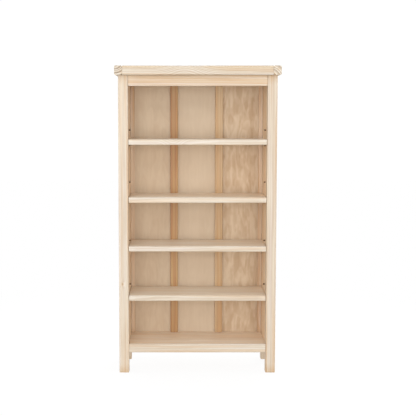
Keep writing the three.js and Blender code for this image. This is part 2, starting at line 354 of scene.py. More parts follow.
# Tints that an arris can have: worn pale; painted shade, a darker orange-brown standing for the shade in
# the joints of the back's uprights and corner strips; and a darker amber.
WORN = (1.07, 1.09, 1.12)
PAINTED_JOINT_SHADE = (0.80, 0.66, 0.50)
# A darker amber, given to the arrises of the legs and of the front bottom rail.
AMBER = (0.88, 0.75, 0.59)

# Each tone's early wood, late wood and the shares of rings and streaks in its figure.
Tone = namedtuple("Tone", "early late rings streaks")
PINE_TONES = {
    "frame": Tone((0.604, 0.537, 0.440), (0.475, 0.372, 0.272), rings=0.46, streaks=0.74),
    "rail": Tone((0.590, 0.508, 0.412), (0.505, 0.370, 0.250), rings=0.50, streaks=0.80),
    "shelf": Tone((0.596, 0.537, 0.447), (0.470, 0.375, 0.275), rings=0.52, streaks=0.62),
    "top": Tone((0.592, 0.533, 0.440), (0.440, 0.335, 0.228), rings=0.78, streaks=0.60),
    # The bottom board's tone is painted light: about half again paler than the shelves, to brighten the
    # top of the shaded bottom compartment.
    "bottom": Tone((0.880, 0.775, 0.635), (0.700, 0.545, 0.395), rings=0.42, streaks=0.80),
    # The side panels' tone is painted light: bright enough that their shaded inner faces look lit; their
    # outer faces are tinted back down.
    "side": Tone((0.850, 0.700, 0.520), (0.740, 0.535, 0.345), rings=0.34, streaks=0.60),
    "strip": Tone((0.700, 0.560, 0.420), (0.570, 0.400, 0.265), rings=0.45, streaks=0.60),
    "warm": Tone((0.545, 0.390, 0.212), (0.435, 0.240, 0.122), rings=0.60, streaks=0.60),
    "olive": Tone((0.652, 0.538, 0.370), (0.540, 0.388, 0.244), rings=0.55, streaks=0.60),
}
SMOOTH_TONES = ("shelf", "bottom")
SMOOTH_ROUGHNESS = 0.44
PLANED_ROUGHNESS = 0.56

# Tints of parts of a board, and the colours of knots and of end grain's rings.
BLUSH = (0.985, 0.885, 0.795)
PALE = (1.03, 1.05, 1.13)
HEARTWOOD = (0.985, 0.925, 0.830)
KNOT_HEART = (0.420, 0.250, 0.130)
KNOT_RIM = (0.170, 0.085, 0.040)
KNOT_HALO = (0.93, 0.78, 0.60)
END_GRAIN = (1.06, 1.06, 1.05)
END_RINGS = (0.225, 0.175, 0.130)
GLUE_LINE = (0.90, 0.86, 0.81)
# Painted light: the side panels' outer faces are tinted this much darker than their inner faces, which
# keep the painted light of the bright side tone.
OUTER_FACE_WITHOUT_PAINTED_LIGHT = (0.74, 0.79, 0.86)
# Painted shade: the walls of the peg holes are darkened to this, standing for the shade inside the holes.
HOLE_PAINTED_SHADE = (0.42, 0.31, 0.22)
DARKER_STRIP = (0.95, 0.92, 0.89)
# Painted light: a shelf or the front bottom rail is painted this much paler on every face behind its front
# edge, so that its top looks lit from above.
PAINTED_TOP_LIGHT = (1.42, 1.46, 1.51)

# Where some of those start and are full: the painted top light behind a board's front edge; from a panel's
# middle outwards, the outer face without the inner face's painted light; from a panel's middle, the
# painted shade on the walls of its holes; from the heartwood's radius; and in knot radii.
PAINTED_TOP_LIGHT_REACH = (0.0015, 0.006)
OUTER_FACE_WITHOUT_PAINTED_LIGHT_REACH = (0.001, 0.004)
HOLE_PAINTED_SHADE_REACH = (0.0086, 0.0065)
HEARTWOOD_REACH = (-0.003, 0.002)
KNOT_HALO_REACH = (1.0, 2.4)
KNOT_RIM_REACH = (0.25, 0.85)
KNOT_EDGE_REACH = (0.8, 1.1)
KNOT_HALO_SHARE = 0.6

# Values of the noises at which each part of the figure starts and is full, and the shares they have.
STREAK_RANGE = (0.36, 0.66)
BLOTCH_RANGE = (0.35, 0.7)
BLUSH_RANGE = (0.48, 0.66)
PALE_RANGE = (0.46, 0.30)
WEAR_RANGE = (0.3, 0.6)
STREAK_SHARE = 0.5
FIBRE_SHARE = 0.35
BLOTCH_SHARES = (-0.12, 0.16)
BAND_SHARE = 0.9
WEAR_SHARES = (0.35, 0.85)

# How much a face must look along the grain to start to be end grain, and to be all end grain.
END_FACING = (0.75, 0.95)

# What spreads a board's seed over the three coordinates of its noises.
PINE_SEED_SPREAD = (1.37, 0.71, 2.93)
VENEER_SEED_SPREAD = (3.1, 1.7, 0.9)
STRIP_SEED_SPREAD = 7.0

PINE_SPECULAR = 0.4
PINE_BUMP = {"strength": 0.35, "distance": 0.0004}
VENEER_SPECULAR = 0.35
VENEER_BUMP = {"strength": 0.25, "distance": 0.0003}
VENEER_FLAMES = 8.0
PLATING_MOTTLE = {"scale": 420.0, "detail": 3.0}
PLATING_METALLIC = 0.85

# darkness is that of the knot's core. At 0 the rings swirl and no knot shows.
Knot = namedtuple("Knot", "place axis radius darkness")
NO_KNOT = Knot((9.0, 9.0, 9.0), (1.0, 0.0, 0.0), 0.006, 0.0)


def grain_place(tree, along, centre):
    """The point of the board measured from its centre, turned so that its third coordinate runs with
    the grain, and how much the surface there is end grain."""
    coordinates = tree.add("ShaderNodeTexCoord").outputs
    local = tree.parts(tree.vector("SUBTRACT", coordinates["Object"], tuple(centre)))
    place = tree.joined(local[(along + 1 + i) % 3] for i in range(3))
    facing = tree.maths("ABSOLUTE", tree.parts(coordinates["Normal"])[along])
    return place, tree.smooth(facing, *END_FACING)


def glued_strips(tree, place, seed, component, width):
    """An edge-glued board: each strip has a grain of its own. Gives the place within the strip, the
    strip's seed and shade from 0 to 1, and how much of a glue line shows there."""
    parts = tree.parts(place)
    measure = tree.maths("DIVIDE", parts[component], width)
    cell = tree.maths("FLOOR", measure)
    within = tree.maths("SUBTRACT", tree.maths("SUBTRACT", measure, cell), 0.5)
    across = tree.maths("MULTIPLY", within, width)
    strip_place = tree.joined(across if i == component else parts[i] for i in range(3))
    draw = tree.add("ShaderNodeTexWhiteNoise", noise_dimensions="1D")
    tree.feed(draw.inputs["W"], tree.maths("ADD", cell, seed[0]))
    own_seed = tree.vector("ADD", tree.scaled(draw.outputs["Color"], STRIP_SEED_SPREAD), seed)
    own_pith = tree.vector("SUBTRACT", draw.outputs["Color"], (0.5, 0.5, 0.5))
    own_place = tree.vector("MULTIPLY_ADD", own_pith, (*PITH_SPREAD, 0.0), strip_place)
    line_start, line_full = (0.5 - reach / width for reach in GLUE_LINE_REACH)
    line = tree.smooth(tree.maths("ABSOLUTE", within), line_start, line_full)
    return own_place, own_seed, draw.outputs["Value"], line


def figure_outputs(tree, **values):
    """The outputs of the pine figure. Each value is named after the input that takes it."""
    figure = tree.add("ShaderNodeGroup", node_tree=PINE_FIGURE)
    for name, value in values.items():
        tree.feed(figure.inputs[name.replace("_", " ").capitalize()], value)
    return figure.outputs


def figured_colour(tree, tone, figure, fibre):
    """Early wood turned towards late wood by the figure, with blushed bands and pale ones."""
    look = PINE_TONES[tone]
    streaks = tree.smooth(figure["Streaks"], *STREAK_RANGE)
    blotches = tree.smooth(figure["Blotches"], *BLOTCH_RANGE, *BLOTCH_SHARES)
    amount = tree.maths("MULTIPLY", figure["Rings"], look.rings)
    amount = tree.maths("MULTIPLY_ADD", streaks, STREAK_SHARE * look.streaks, amount)
    amount = tree.maths("MULTIPLY_ADD", fibre, FIBRE_SHARE, amount)
    amount = tree.maths("ADD", amount, blotches, clamp=True)
    colour = tree.mix(amount, opaque(look.early), opaque(look.late))
    colour = tree.tinted(tree.smooth(figure["Bands"], *BLUSH_RANGE, to_high=BAND_SHARE), colour, BLUSH)
    return tree.tinted(tree.smooth(figure["Bands"], *PALE_RANGE, to_high=BAND_SHARE), colour, PALE)


def with_side_panel_painted_light_and_shade(tree, colour, through, outwards):
    """Painted light and shade on a side panel: its outer face is tinted darker than its inner face,
    which keeps painted light, and the walls of its holes get painted shade. through is the coordinate
    through it.
    """
    across = tree.maths("MULTIPLY", through, outwards)
    colour = tree.tinted(tree.smooth(across, *OUTER_FACE_WITHOUT_PAINTED_LIGHT_REACH), colour, OUTER_FACE_WITHOUT_PAINTED_LIGHT)
    # Painted shade on the walls of the holes.
    return tree.tinted(tree.smooth(tree.maths("ABSOLUTE", across), *HOLE_PAINTED_SHADE_REACH), colour, HOLE_PAINTED_SHADE)


def with_knot(tree, colour, reach, darkness):
    """reach is the distance from the knot's axis in knot radii."""
    halo = tree.smooth(reach, *KNOT_HALO_REACH, to_low=KNOT_HALO_SHARE, to_high=0.0)
    colour = tree.tinted(halo, colour, KNOT_HALO)
    core = tree.mix(tree.smooth(reach, *KNOT_RIM_REACH), opaque(KNOT_HEART), opaque(KNOT_RIM))
    return tree.mix(tree.smooth(reach, *KNOT_EDGE_REACH, to_low=darkness, to_high=0.0), colour, core)


def with_end_grain(tree, colour, end, rings, darkness):
    end_colour = tree.tinted(1.0, colour, END_GRAIN)
    end_colour = tree.mix(tree.maths("MULTIPLY", rings, darkness), end_colour, opaque(END_RINGS))
    return tree.mix(end, colour, end_colour)


def planed_surface(tree, shader, figure, fibre, end, roughness):
    """Fibre and rings that can be felt, and end grain rougher than the rest."""
    rough = tree.maths("MULTIPLY_ADD", fibre, 0.25, roughness)
    rough = tree.maths("MULTIPLY_ADD", figure["Rings"], -0.10, rough)
    tree.feed(shader.inputs["Roughness"], tree.maths("MULTIPLY_ADD", end, 0.15, rough, clamp=True))
    shader.inputs["Specular IOR Level"].default_value = PINE_SPECULAR
    height = tree.maths("MULTIPLY", figure["Fibre"], 0.5)
    height = tree.maths("MULTIPLY_ADD", figure["Rings"], 0.35, height)
    tree.feed(shader.inputs["Normal"], tree.bump(height, **PINE_BUMP))


def pine(name, tone, along, centre, seed, pith=(0.03, -0.06), spacing=0.0055, wave=0.03, knot=NO_KNOT,
         heart=None, strips=None, front=None, outwards=0, arris_tint=WORN, end_rings=0.35):
    """Unfinished planed pine. heart is the radius of the heartwood about the pith; strips is
    (coordinate across, width) of an edge-glued board; front is the first coordinate of a front edge
    behind which the board is painted paler, painted light that makes its top look lit from above;
    outwards is the sign of the first coordinate on the outer face of a drilled side panel, whose inner
    face keeps the painted light of its bright tone and whose hole walls get painted shade; end_rings is
    how dark the rings of its end grain are."""
    material, tree, shader = new_material(name)
    place, end = grain_place(tree, along, centre)
    first = tree.parts(place)[0]
    from_knot = tree.vector("SUBTRACT", place, knot.place)
    seeds = tuple(seed * spread for spread in PINE_SEED_SPREAD)
    if strips:
        place, seeds, shade, glue_line = glued_strips(tree, place, seeds, *strips)
    figure = figure_outputs(tree, place=place, seed=seeds, pith=(*pith, 0.0), spacing=spacing, wave=wave,
                            from_knot=from_knot, knot_axis=knot.axis, knot_radius=knot.radius)
    fibre = tree.maths("SUBTRACT", figure["Fibre"], 0.5)

    colour = figured_colour(tree, tone, figure, fibre)
    if heart:
        edge = (heart + reach for reach in HEARTWOOD_REACH)
        inside = tree.smooth(figure["Radial"], *edge, to_low=1.0, to_high=0.0)
        colour = tree.tinted(inside, colour, HEARTWOOD)
    # Painted light: behind the front edge the board is painted paler, so that its top looks lit from
    # above.
    if front is not None:
        painted_top_light_mask = tree.smooth(first, *(front + reach for reach in PAINTED_TOP_LIGHT_REACH))
        colour = tree.tinted(painted_top_light_mask, colour, PAINTED_TOP_LIGHT)
    if strips:
        if front is not None:
            shade = tree.maths("MULTIPLY", shade, painted_top_light_mask)
        colour = tree.tinted(shade, colour, DARKER_STRIP)
        colour = tree.tinted(glue_line, colour, GLUE_LINE)
    if outwards:
        colour = with_side_panel_painted_light_and_shade(tree, colour, first, outwards)
    if knot.darkness:
        colour = with_knot(tree, colour, figure["Knot reach"], knot.darkness)
    colour = with_end_grain(tree, colour, end, figure["Rings"], end_rings)

    arris = tree.add("ShaderNodeAttribute", attribute_name="arris").outputs["Fac"]
    worn = tree.maths("MULTIPLY", arris, tree.smooth(figure["Blotches"], *WEAR_RANGE, *WEAR_SHARES))
    tree.feed(shader.inputs["Base Color"], tree.tinted(worn, colour, arris_tint))
    roughness = SMOOTH_ROUGHNESS if tone in SMOOTH_TONES else PLANED_ROUGHNESS
    planed_surface(tree, shader, figure, fibre, end, roughness)
    return material


def plywood(name, centre, seed, flame_share, cloud_share, early, late):
    """Rotary-cut pine veneer: a flame figure that wanders along the sheet, with cloudy patches."""
    material, tree, shader = new_material(name)
    place, _ = grain_place(tree, Z, centre)
    sample = tree.vector("ADD", place, tuple(seed * spread for spread in VENEER_SEED_SPREAD))
    swell = tree.grain_noise(sample, stretch=0.28, scale=13.0)
    ripple = tree.grain_noise(sample, stretch=0.20, scale=60.0)
    contour = tree.maths("MULTIPLY_ADD", ripple, 0.5, tree.maths("MULTIPLY", swell, VENEER_FLAMES))
    year = tree.maths("FRACT", contour)
    fall = tree.smooth(year, 0.76, 1.0, to_low=1.0, to_high=0.0)
    flame = tree.maths("MULTIPLY", tree.smooth(year, 0.0, 0.7), fall)
    clouds = tree.smooth(tree.grain_noise(sample, stretch=0.40, scale=34.0), 0.40, 0.62)
    slow = tree.smooth(tree.grain_noise(sample, stretch=0.12, scale=9.0), 0.35, 0.65)
    streaks = tree.smooth(tree.grain_noise(sample, stretch=0.02, scale=120.0), 0.35, 0.68)
    fibre = tree.grain_noise(sample, stretch=0.03, scale=700.0)
    amount = tree.maths("MULTIPLY", flame, flame_share)
    amount = tree.maths("MULTIPLY_ADD", clouds, cloud_share, amount)
    amount = tree.maths("MULTIPLY_ADD", slow, 0.26, amount)
    amount = tree.maths("MULTIPLY_ADD", streaks, 0.11, amount)
    amount = tree.maths("MULTIPLY_ADD", tree.maths("SUBTRACT", fibre, 0.5), 0.24, amount, clamp=True)
    tree.feed(shader.inputs["Base Color"], tree.mix(amount, opaque(early), opaque(late)))
    tree.feed(shader.inputs["Roughness"], tree.maths("MULTIPLY_ADD", fibre, 0.2, 0.50))
    shader.inputs["Specular IOR Level"].default_value = VENEER_SPECULAR
    height = tree.maths("MULTIPLY_ADD", flame, 0.3, fibre)
    tree.feed(shader.inputs["Normal"], tree.bump(height, **VENEER_BUMP))
    return material


def plated_steel(name, colour, worn_colour, roughness):
    """Mottled plating that is worn on the arrises."""
    material, tree, shader = new_material(name)
    mottle = tree.noise(tree.add("ShaderNodeTexCoord").outputs["Object"], **PLATING_MOTTLE)
    arris = tree.add("ShaderNodeAttribute", attribute_name="arris").outputs["Fac"]
    worn = tree.maths("MULTIPLY", arris, tree.smooth(mottle, 0.4, 0.62))
    paler = tuple(c * 1.35 for c in colour)
    base = tree.mix(tree.smooth(mottle, 0.3, 0.7), opaque(colour), opaque(paler))
    tree.feed(shader.inputs["Base Color"], tree.mix(worn, base, opaque(worn_colour)))
    tree.feed(shader.inputs["Roughness"], tree.maths("MULTIPLY_ADD", mottle, 0.25, roughness - 0.12))
    shader.inputs["Metallic"].default_value = PLATING_METALLIC
    return material


# ------------------------------------------------------------------ meshes

def closeness(distance, radius):
    return max(0.0, 1.0 - distance / radius)


def set_arrises(mesh, values):
    attribute = mesh.attributes.new("arris", "FLOAT", "POINT")
    attribute.data.foreach_set("value", values)


def mark_arrises(mesh, low, high, radius):
    """Marks each vertex with how near it is to an arris of the box: 0 on the flats, 1 at the arris."""
    values = []
    for vertex in mesh.vertices:
        near = [
            closeness(min(abs(vertex.co[i] - low[i]), abs(high[i] - vertex.co[i])), radius)
            for i in range(3)
        ]
        _, second, nearest = sorted(near)
        values.append(min(1.0, 2.0 * nearest * second))
    set_arrises(mesh, values)


def slice_along(bm, low, high, along):
    """Cuts the board across its length, so that its surface can follow the planer's slow waves."""
    count = int((high[along] - low[along]) / SLICE_LENGTH)
    normal = Vector((0, 0, 0))
    normal[along] = 1.0
    for i in range(1, count):
        point = Vector((0, 0, 0))
        point[along] = low[along] + (high[along] - low[along]) * i / count
        geometry = bm.verts[:] + bm.edges[:] + bm.faces[:]
        bmesh.ops.bisect_plane(bm, geom=geometry, plane_co=point, plane_no=normal)


def bevel(bm, edges, radius, segments):
    bmesh.ops.bevel(bm, geom=edges, offset=radius, segments=segments, profile=0.5, affect="EDGES")


def soft_box(low, high, along, radius, end_radius=END_RADIUS, slices=True):
    """A planed board between two corners: long arrises rounded by radius, ends eased by end_radius."""
    low, high = Vector(low), Vector(high)
    bm = bmesh.new()
    size = high - low
    place = Matrix.Translation((low + high) / 2) @ Matrix.Diagonal((*size, 1.0))
    bmesh.ops.create_cube(bm, size=1.0, matrix=place)
    long_edges = [
        e for e in bm.edges
        if abs(e.verts[0].co[along] - e.verts[1].co[along]) > size[along] / 2
    ]
    bevel(bm, long_edges, radius, LONG_EDGE_SEGMENTS)
    middle = (low[along] + high[along]) / 2
    end_edges = [
        e for e in bm.edges
        if abs(e.verts[0].co[along] - e.verts[1].co[along]) < SAME_PLACE
        and abs(abs(e.verts[0].co[along] - middle) - size[along] / 2) < SAME_PLACE
    ]
    bevel(bm, end_edges, end_radius, END_SEGMENTS)
    if slices:
        slice_along(bm, low, high, along)
    return bm


def plane_waves(bm, low, high, seed):
    """Moves the surface inwards across the board's thickness by up to PLANING_WAVE, never outwards."""
    middle = (Vector(low) + Vector(high)) / 2
    thin = min(range(3), key=lambda i: high[i] - low[i])
    for vertex in bm.verts:
        offset = noise.noise(vertex.co * PLANING_SCALE + Vector((seed, 0.0, 0.0)))
        inwards = Vector((0, 0, 0))
        inwards[thin] = math.copysign(1.0, middle[thin] - vertex.co[thin])
        vertex.co += inwards * PLANING_WAVE * (0.5 + 0.5 * offset)


def to_object(name, bm, material, flat=True):
    mesh = bpy.data.meshes.new(name)
    bm.normal_update()
    bm.to_mesh(mesh)
    bm.free()
    for polygon in mesh.polygons:
        polygon.use_smooth = True
    piece = bpy.data.objects.new(name, mesh)
    bpy.context.scene.collection.objects.link(piece)
    mesh.materials.append(material)
    if flat:
        piece.modifiers.new("flats stay flat", "WEIGHTED_NORMAL")
    return piece


def stand_for(piece, node):
    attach(piece, frame["nodes"][node]["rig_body"])
    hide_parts(node)
    return piece


def board(node, slot, tone, along, low, high, radius=EDGE_RADIUS, lines=None, **figure):
    """One pine board that stands for a CAD node. lines is the box and width of its arris lines, if
    they aren't its own. Its seed is how many materials were made before it, and a half."""
    seed = float(len(bpy.data.materials)) + 0.5
    bm = soft_box(low, high, along, radius)
    plane_waves(bm, low, high, seed)
    centre = (Vector(low) + Vector(high)) / 2
    material = pine(node + "_wood", tone, along, centre, seed, **figure)
    piece = to_object(node + "_board", bm, material)
    mark_arrises(piece.data, *(lines or (low, high, radius)))
    return stand_for(piece, node)


def turned(profile, axis, origin, segments):
    """A closed solid turned about an axis. profile holds pairs of a distance along the axis and a
    radius, and starts and ends at radius 0."""
    bm = bmesh.new()
    first, second = (axis + 1) % 3, (axis + 2) % 3
    rings = []
    for along, radius in profile:
        ring = []
        for i in range(1 if radius == 0 else segments):
            angle = 2 * math.pi * i / segments
            point = Vector(origin)
            point[axis] += along
            point[first] += radius * math.cos(angle)
            point[second] += radius * math.sin(angle)
            ring.append(bm.verts.new(point))
        rings.append(ring)
    for ring, following in zip(rings, rings[1:]):
        for i in range(segments):
            j = i + 1
            near_side = (ring[i % len(ring)], ring[j % len(ring)])
            far_side = (following[j % len(following)], following[i % len(following)])
            bm.faces.new(list(dict.fromkeys(near_side + far_side)))
    bmesh.ops.recalc_face_normals(bm, faces=bm.faces)
    return bm


def cut(piece, cutter_meshes):
    """Takes the cutters out of the piece and keeps the result as its mesh."""
    joined = bmesh.new()
    for bm in cutter_meshes:
        mesh = bpy.data.meshes.new("cutter")
        bm.to_mesh(mesh)
        bm.free()
        joined.from_mesh(mesh)
        bpy.data.meshes.remove(mesh)
    cutter = to_object("cutter", joined, piece.data.materials[0], flat=False)
    modifier = piece.modifiers.new("cut", "BOOLEAN")
    modifier.operation = "DIFFERENCE"
    modifier.solver = "EXACT"
    modifier.object = cutter
    bpy.context.view_layer.update()
    depsgraph = bpy.context.evaluated_depsgraph_get()
    result = bpy.data.meshes.new_from_object(piece.evaluated_get(depsgraph))
    piece.modifiers.clear()
    piece.data = result
    bpy.data.objects.remove(cutter)
    piece.modifiers.new("flats stay flat", "WEIGHTED_NORMAL")


# ------------------------------------------------------------------ places worked out from the frame

leg_low, leg_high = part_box("leg_front_right")
rear_leg_low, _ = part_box("leg_rear_right")
INNER = leg_low.x
FRONT = leg_low.y
BETWEEN_LEGS_Y = (leg_high.y + GAP, rear_leg_low.y - GAP)
_, top_rail_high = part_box("top_rail_front")
bottom_rail_low, bottom_rail_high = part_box("bottom_rail_front")
rear_rail_low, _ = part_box("top_rail_rear")


def span(node, x=None, y=None, z=None):
    """The node's box, with its own span replaced where a tenon or tongue makes the box longer."""
    low, high = (Vector(corner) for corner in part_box(node))
    for i, given in enumerate((x, y, z)):
        if given is not None:
            low[i], high[i] = given
    return low, high


# ------------------------------------------------------------------ frame of the case

LEG_PITHS = {
    "front_left": (-0.075, -0.08),
    "front_right": (0.09, -0.07),
    "rear_left": (0.04, 0.09),
    "rear_right": (-0.06, 0.08),
}
LEG_KNOTS = {"front_left": Knot((-0.006, 0.0, -0.287), (0.0, 1.0, 0.0), 0.0035, 0.5)}
for corner, pith in LEG_PITHS.items():
    board(f"leg_{corner}", "pine_frame", "frame", Z, *span(f"leg_{corner}"), pith=pith, spacing=0.011,
          wave=0.02, knot=LEG_KNOTS.get(corner, NO_KNOT), arris_tint=AMBER)

between_legs = (-INNER + GAP, INNER - GAP)
board("top_rail_front", "pine_frame", "rail", X, *span("top_rail_front", x=between_legs),
      pith=(-0.03, 0.075), spacing=0.010, wave=0.03, heart=0.092)
# Painted light: behind its front face the rail is painted paler, so that its top looks lit from above.
board("bottom_rail_front", "pine_frame", "shelf", X, *span("bottom_rail_front", x=between_legs),
      radius=FLUSH_EDGE_RADIUS, pith=(-0.02, 0.07), spacing=0.010, arris_tint=AMBER,
      front=(bottom_rail_low.y - bottom_rail_high.y) / 2)
for place in ("top", "bottom"):
    rail = f"{place}_rail_rear"
    board(rail, "pine_back", "warm", X, *span(rail, x=between_legs), pith=(0.02, 0.06), spacing=0.008)
    for side in SIDES:
        rail = f"side_rail_{place}_{side}"
        board(rail, "pine_frame", "frame", Y, *span(rail, y=BETWEEN_LEGS_Y), pith=(0.01, 0.09),
              spacing=0.009)

# Painted light: its bright tone lightens the shaded floor of the bottom compartment.
board("bottom_board", "pine_panel", "bottom", X, *span("bottom_board"), radius=STRIP_EDGE_RADIUS,
      pith=(0.02, -0.12), wave=0.05, strips=(0, STRIP_WIDTH))

# ------------------------------------------------------------------ top

breadboard_low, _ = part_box("top_breadboard_right")
top_x = (-breadboard_low.x + GAP, breadboard_low.x - GAP)
top_swirl = Knot((-0.140, 0.0, -0.060), (0.0, 1.0, 0.0), 0.012, 0.0)
board("top_board", "pine_top", "top", X, *span("top_board", x=top_x), radius=TOP_EDGE_RADIUS,
      pith=(-0.04, 0.075), spacing=0.009, wave=0.03, knot=top_swirl, heart=0.078,
      strips=(0, TOP_STRIP_WIDTH))
board("top_breadboard_left", "pine_top", "top", Y, *span("top_breadboard_left"),
      radius=BREADBOARD_EDGE_RADIUS, pith=(0.037, -0.012), spacing=0.011, wave=0.012, end_rings=0.85)
board("top_breadboard_right", "pine_top", "top", Y, *span("top_breadboard_right"),
      radius=BREADBOARD_EDGE_RADIUS, pith=(-0.035, -0.03), spacing=0.014, wave=0.012, end_rings=0.45)

# ------------------------------------------------------------------ back

upright_z = (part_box("bottom_board")[1].z + GAP, rear_rail_low.z - GAP)
UPRIGHT_LOOKS = {"left": ("warm", (-0.06, 0.09)), "right": ("olive", (-0.08, 0.10))}
# The uprights' arrises and the corner strips' edges by the panels carry painted shade: a darker
# orange-brown standing for the shade in the joints.
for side, (tone, pith) in UPRIGHT_LOOKS.items():
    low, high = span(f"back_upright_{side}", z=upright_z)
    board(f"back_upright_{side}", "pine_back", tone, Z, low, high, pith=pith, spacing=0.013, wave=0.02,
          lines=(low, high, PAINTED_SHADE_LINE_WIDTH), arris_tint=PAINTED_JOINT_SHADE)
    low, high = span(f"back_corner_strip_{side}")
    into_wall = SIDES[side] * 2 * PAINTED_SHADE_LINE_WIDTH
    lines_low = low + Vector((min(into_wall, 0.0), 0.0, 0.0))
    lines_high = high + Vector((max(into_wall, 0.0), 0.0, 0.0))
    board(f"back_corner_strip_{side}", "pine_back", "strip", Z, low, high, radius=STRIP_EDGE_RADIUS,
          pith=pith, spacing=0.009, lines=(lines_low, lines_high, PAINTED_SHADE_LINE_WIDTH), arris_tint=PAINTED_JOINT_SHADE)

# Each sheet's shares of flame and clouds, and its early and late colours.
PANEL_LOOKS = {
    "left": (0.17, 0.15, (0.622, 0.505, 0.370), (0.510, 0.378, 0.256)),
    "centre": (0.10, 0.10, (0.592, 0.478, 0.352), (0.500, 0.378, 0.262)),
    "right": (0.30, 0.42, (0.644, 0.516, 0.372), (0.484, 0.336, 0.210)),
}
for number, (place, look) in enumerate(PANEL_LOOKS.items()):
    node = f"back_panel_{place}"
    low, high = span(node)
    material = plywood(node + "_veneer", (low + high) / 2, number + 1.0, *look)
    bm = soft_box(low, high, Z, SHEET_EDGE_RADIUS, SHEET_EDGE_RADIUS)
    sheet = to_object(node + "_sheet", bm, material)
    mark_arrises(sheet.data, low, high, SHEET_EDGE_RADIUS)
    stand_for(sheet, node)

# ------------------------------------------------------------------ shelves

SHELF_PITHS = {1: (-0.09, -0.05), 2: (0.08, 0.06), 3: (-0.08, 0.06), 4: (0.09, -0.06)}
SHELF_SWIRLS = {1: Knot((-0.116, 0.0, -0.118), (0.0, 1.0, 0.0), 0.007, 0.0)}
for number, pith in SHELF_PITHS.items():
    low, high = span(f"shelf_{number}")
    # Painted light: behind the front edge each shelf is painted paler, so that its top looks lit from
    # above.
    board(f"shelf_{number}", "pine_shelf", "shelf", X, low, high, radius=SHELF_EDGE_RADIUS,
          pith=pith, spacing=0.009, wave=0.04, knot=SHELF_SWIRLS.get(number, NO_KNOT),
          strips=(0, STRIP_WIDTH), front=(low.y - high.y) / 2)

# ------------------------------------------------------------------ side panels and their peg holes

def turned_in_wall(profile, sign, y, z, segments):
    """The profile turned about a peg's axis, from the inner face of a side panel."""
    return turned([(sign * along, radius) for along, radius in profile], X, (sign * INNER, y, z), segments)


def peg_hole(sign, y, z):
    """A cutter for one hole: flared at its mouth, with the drill's cone at its bottom."""
    radius = PEG_SHANK_RADIUS + GAP
    flare = radius + HOLE_FLARE
    profile = [
        (-HOLE_OVERSHOOT, 0), (-HOLE_OVERSHOOT, flare), (0.0, flare), (HOLE_FLARE, radius),
        (PEG_HOLE_DEPTH - PEG_HOLE_CONE, radius), (PEG_HOLE_DEPTH, 0),
    ]
    return turned_in_wall(profile, sign, y, z, HOLE_SEGMENTS)


def peg_place(node):
    low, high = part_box(node)
    return (low.y + high.y) / 2, (low.z + high.z) / 2


SIDE_KNOTS = {
    "left": Knot((0.0, -0.020, -0.525), (1.0, 0.0, 0.0), 0.012, 0.90),
    "right": NO_KNOT,
}
for side, sign in SIDES.items():
    node = f"side_panel_{side}"
    low, high = span(node, y=BETWEEN_LEGS_Y)
    centre = (low + high) / 2
    bm = soft_box(low, high, Z, STRIP_EDGE_RADIUS, slices=False)
    # Painted light: the side tone is bright so the inner face looks lit; the outer face is tinted back
    # down and the hole walls get painted shade.
    wood = pine(node + "_wood", "side", Z, centre, PANEL_SEED + sign, pith=(0.12, 0.05 * sign),
                spacing=0.009, wave=0.04, knot=SIDE_KNOTS[side], strips=(1, STRIP_WIDTH), outwards=sign)
    panel = to_object(node + "_board", bm, wood)
    cutters = []
    for number in SHELF_PITHS:
        for column in PEG_COLUMNS:
            y, z = peg_place(f"shelf_{number}_peg_{column}_{side}")
            for step in range(-PEG_HOLES_BELOW, PEG_HOLES_ABOVE + 1):
                cutters.append(peg_hole(sign, y, z + step * PEG_PITCH))
    cut(panel, cutters)
    mark_arrises(panel.data, low, high, STRIP_EDGE_RADIUS)
    stand_for(panel, node)

# ------------------------------------------------------------------ pegs

PEG_STEEL = plated_steel("plated_peg_steel", (0.090, 0.050, 0.026), (0.34, 0.24, 0.15), 0.42)


def groove(start, width, depth, radius):
    """The part of a profile that turns a groove with sloping sides into a rod of the radius."""
    bottom = radius - depth
    end = start + width
    return [(start, radius), (start + GROOVE_SLOPE, bottom), (end - GROOVE_SLOPE, bottom), (end, radius)]


def peg_profile(stud, tip, shank_end):
    """A domed stud with a turned groove, a shoulder by the panel and a grooved shank."""
    profile = [(-tip, 0)]
    for i in range(PEG_DOME_STEPS, -1, -1):
        angle = math.radians(90 * i / PEG_DOME_STEPS)
        along = -tip + PEG_DOME_RADIUS * (1 - math.sin(angle))
        profile.append((along, stud - PEG_DOME_RADIUS + PEG_DOME_RADIUS * math.cos(angle)))
    profile += groove(**STUD_GROOVE, radius=stud)
    ease_along, ease_across = PEG_SHOULDER_EASE
    profile += [(PEG_SHOULDER - ease_along, stud), (PEG_SHOULDER, stud - ease_across)]
    profile.append((PEG_SHOULDER, PEG_SHANK_RADIUS))
    for start in SHANK_GROOVE_STARTS:
        profile += groove(start, **SHANK_GROOVE, radius=PEG_SHANK_RADIUS)
    profile.append((shank_end - PEG_SHANK_EASE, PEG_SHANK_RADIUS))
    return profile + [(shank_end, PEG_SHANK_RADIUS - PEG_SHANK_EASE), (shank_end, 0)]


def peg(node):
    """A shelf peg. The rims of its stud are the arrises that wear."""
    low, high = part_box(node)
    sign = 1 if low.x > 0 else -1
    y, z = peg_place(node)
    stud = (high.z - low.z) / 2
    tip = INNER - (low.x if sign > 0 else -high.x)
    shank_end = (high.x if sign > 0 else -low.x) - INNER
    bm = turned_in_wall(peg_profile(stud, tip, shank_end), sign, y, z, PEG_SEGMENTS)
    piece = to_object(node + "_turned", bm, PEG_STEEL)
    radii = [(v.co - Vector((v.co.x, y, z))).length for v in piece.data.vertices]
    set_arrises(piece.data, [float(abs(radius - stud) < PEG_RIM_TOLERANCE) for radius in radii])
    return stand_for(piece, node)


for number in SHELF_PITHS:
    for side in SIDES:
        for column in PEG_COLUMNS:
            peg(f"shelf_{number}_peg_{column}_{side}")
        peg(f"spare_peg_{number}_{side}")

